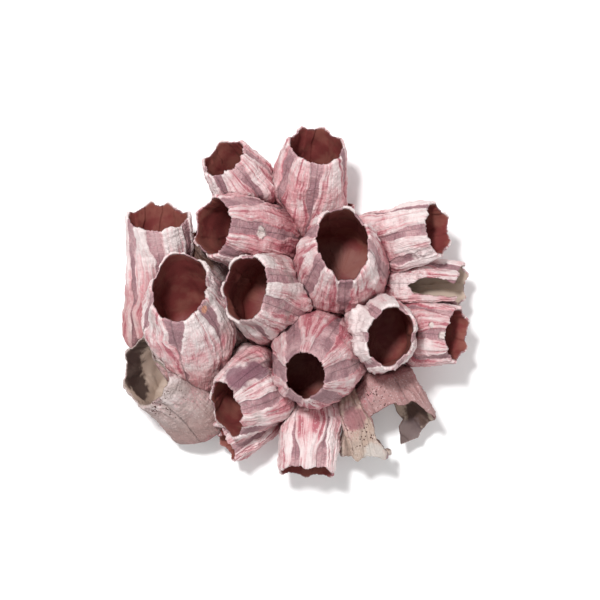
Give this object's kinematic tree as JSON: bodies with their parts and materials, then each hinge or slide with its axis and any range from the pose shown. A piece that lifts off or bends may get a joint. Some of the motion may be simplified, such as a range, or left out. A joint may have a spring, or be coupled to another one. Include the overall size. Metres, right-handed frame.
{
  "type": "barnacle cluster",
  "caption": "Cluster of large barnacle shells grown side by side, cut off flat behind, its open mouths facing up and outwards.",
  "frame": {"origin": "middle of the flat cut where the cluster was taken off its rock, on the surface it rests on", "axes": "+Z out of the flat cut towards the middle mouths, +Y towards the top of the cluster as pictured, +X to the right"},
  "size_m": [0.1297, 0.1318, 0.0626],
  "materials": {
    "barnacle_centre_low": "matte",
    "barnacle_centre": "matte",
    "barnacle_centre_right": "matte",
    "barnacle_centre_left": "matte",
    "barnacle_left": "matte",
    "barnacle_upper_left": "matte",
    "barnacle_low_left": "matte",
    "barnacle_lower_left": "matte",
    "barnacle_top_right": "matte",
    "barnacle_top_left": "matte",
    "barnacle_right_upper": "matte",
    "barnacle_far_left": "matte",
    "barnacle_right_lower": "matte",
    "barnacle_bottom": "matte",
    "barnacle_right_middle": "matte",
    "barnacle_broken_right": "matte",
    "barnacle_broken_low": "matte",
    "barnacle_rear_top": "matte",
    "barnacle_rear_low_left": "matte",
    "barnacle_rear_left": "matte",
    "barnacle_rear_upper_left": "matte"
  },
  "bodies": {
    "root": {"barnacle_centre_low": "barnacle_centre_low", "barnacle_centre": "barnacle_centre", "barnacle_centre_right": "barnacle_centre_right", "barnacle_centre_left": "barnacle_centre_left", "barnacle_left": "barnacle_left", "barnacle_upper_left": "barnacle_upper_left", "barnacle_low_left": "barnacle_low_left", "barnacle_lower_left": "barnacle_lower_left", "barnacle_top_right": "barnacle_top_right", "barnacle_top_left": "barnacle_top_left", "barnacle_right_upper": "barnacle_right_upper", "barnacle_far_left": "barnacle_far_left", "barnacle_right_lower": "barnacle_right_lower", "barnacle_bottom": "barnacle_bottom", "barnacle_right_middle": "barnacle_right_middle", "barnacle_broken_right": "barnacle_broken_right", "barnacle_broken_low": "barnacle_broken_low", "barnacle_rear_top": "barnacle_rear_top", "barnacle_rear_low_left": "barnacle_rear_low_left", "barnacle_rear_left": "barnacle_rear_left", "barnacle_rear_upper_left": "barnacle_rear_upper_left"}
  },
  "joints": []
}
